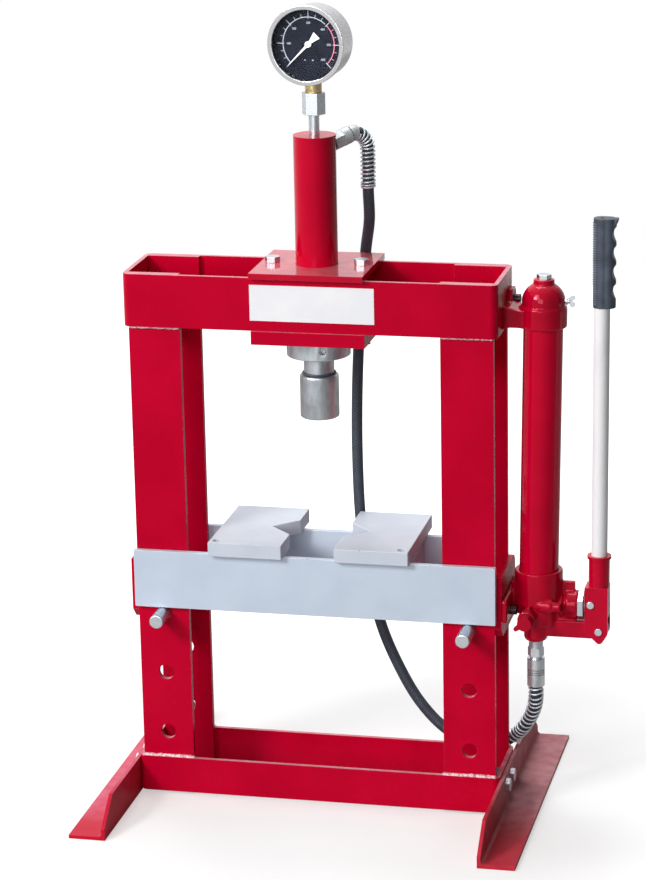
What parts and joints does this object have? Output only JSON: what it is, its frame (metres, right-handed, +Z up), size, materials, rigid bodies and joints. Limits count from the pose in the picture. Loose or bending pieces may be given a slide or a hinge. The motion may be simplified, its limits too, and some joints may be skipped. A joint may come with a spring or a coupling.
{
  "type": "hydraulic bench press",
  "caption": "Manual hydraulic bench press: flat-bar frame on angle feet, upright ram with gauge, pinned height-adjustable bed with notched plates, and a side lever pump on an oil hose.",
  "frame": {"origin": "on the ground, under the middle of the box round the whole press with its feet and pump lever", "axes": "+Z up, front towards -Y, pump and lever towards +X"},
  "size_m": [0.6976, 0.47, 1.082],
  "materials": {
    "red_enamel": "gloss red enamel",
    "bed_enamel": "satin blue-grey enamel",
    "zinc": "bright zinc plate",
    "machined_steel": "turned steel",
    "stainless": "satin stainless steel",
    "brass": "machined brass",
    "black_rubber": "moulded rubber",
    "hose_rubber": "wrapped rubber cover",
    "white_enamel": "white enamel",
    "dial_black": "satin black",
    "lens_glass": "clear",
    "label_white": "plain film"
  },
  "bodies": {
    "press": {"head_band": "red_enamel", "base_band": "red_enamel", "left_front_bar": "red_enamel", "left_back_bar": "red_enamel", "right_front_bar": "red_enamel", "right_back_bar": "red_enamel", "left_tie_plate": "red_enamel", "right_tie_plate": "red_enamel", "left_foot": "red_enamel", "right_foot": "red_enamel", "foot_bolts": "zinc", "foot_nuts": "zinc", "top_plate": "red_enamel", "lower_plate": "red_enamel", "clamp_bolts": "zinc", "clamp_nuts": "zinc", "label_plate": "label_white", "cylinder_tube": "red_enamel", "rod_guide": "machined_steel", "ring_nut": "machined_steel", "return_spring": "machined_steel", "gauge_pipe": "zinc", "gauge_nut": "zinc", "gauge_stem": "brass", "gauge_case": "stainless", "gauge_bezel": "stainless", "gauge_dial": "dial_black", "gauge_lens": "lens_glass", "port_adapter": "zinc", "hose_elbow": "zinc", "upper_guard": "zinc", "hose": "hose_rubber", "lower_guard": "zinc", "hose_ferrule": "zinc", "hose_nut": "zinc", "pump_casting": "red_enamel", "pump_screws": "zinc", "reservoir_tube": "red_enamel", "reservoir_cap": "red_enamel", "fill_plug": "zinc", "vent_screw": "zinc", "gland_nut": "zinc"},
    "ram": {"piston": "machined_steel", "ram_rod": "machined_steel", "ram_head": "machined_steel", "head_ring": "black_rubber"},
    "bed": {"front_rail": "bed_enamel", "back_rail": "bed_enamel", "bed_spacers": "bed_enamel", "left_arbor_plate": "bed_enamel", "right_arbor_plate": "bed_enamel"},
    "left_pin": {"left_bed_pin": "zinc"},
    "right_pin": {"right_bed_pin": "zinc"},
    "lever": {"lever_socket": "red_enamel", "lever_tube": "white_enamel", "lever_grip": "black_rubber", "fork_pins": "zinc"},
    "plunger": {"plunger": "machined_steel"},
    "valve": {"release_valve": "red_enamel"},
    "needle": {"gauge_needle": "white_enamel"}
  },
  "joints": [
    {"name": "ram_slide", "type": "slide", "parent": "press", "child": "ram", "axis": [0, 0, -1], "range_m": [0, 0.15], "stiffness_N_per_m": 300, "springref_m": -0.2, "deforming": ["return_spring"]},
    {"name": "bed_lift", "type": "slide", "parent": "press", "child": "bed", "axis": [0, 0, 1], "range_m": [0, 0.24]},
    {"name": "left_pin_pull", "type": "slide", "parent": "press", "child": "left_pin", "axis": [0, -1, 0], "range_m": [0, 0.122]},
    {"name": "right_pin_pull", "type": "slide", "parent": "press", "child": "right_pin", "axis": [0, -1, 0], "range_m": [0, 0.115]},
    {"name": "lever_swing", "type": "hinge", "parent": "press", "child": "lever", "pos_m": [0.32696, 0, 0.253], "axis": [0, 1, 0], "range_deg": [0, 45]},
    {"name": "plunger_slide", "type": "slide", "parent": "press", "child": "plunger", "axis": [1, 0, 0], "range_m": [0, 0.0296]},
    {"name": "release_valve_turn", "type": "hinge", "parent": "press", "child": "valve", "pos_m": [0.23476, -0.05, 0.2737], "axis": [0, -1, 0], "range_deg": [0, 270]},
    {"name": "gauge_needle_turn", "type": "hinge", "parent": "press", "child": "needle", "pos_m": [-0.04874, 0, 1.03], "axis": [0.1219, 0.9925, 0], "range_deg": [0, 270], "stiffness_Nm_per_rad": 0.001, "springref_deg": -28.65}
  ],
  "couplings": [
    {"joint": "plunger_slide", "follows": "lever_swing", "m_per_rad": 0.0376}
  ]
}
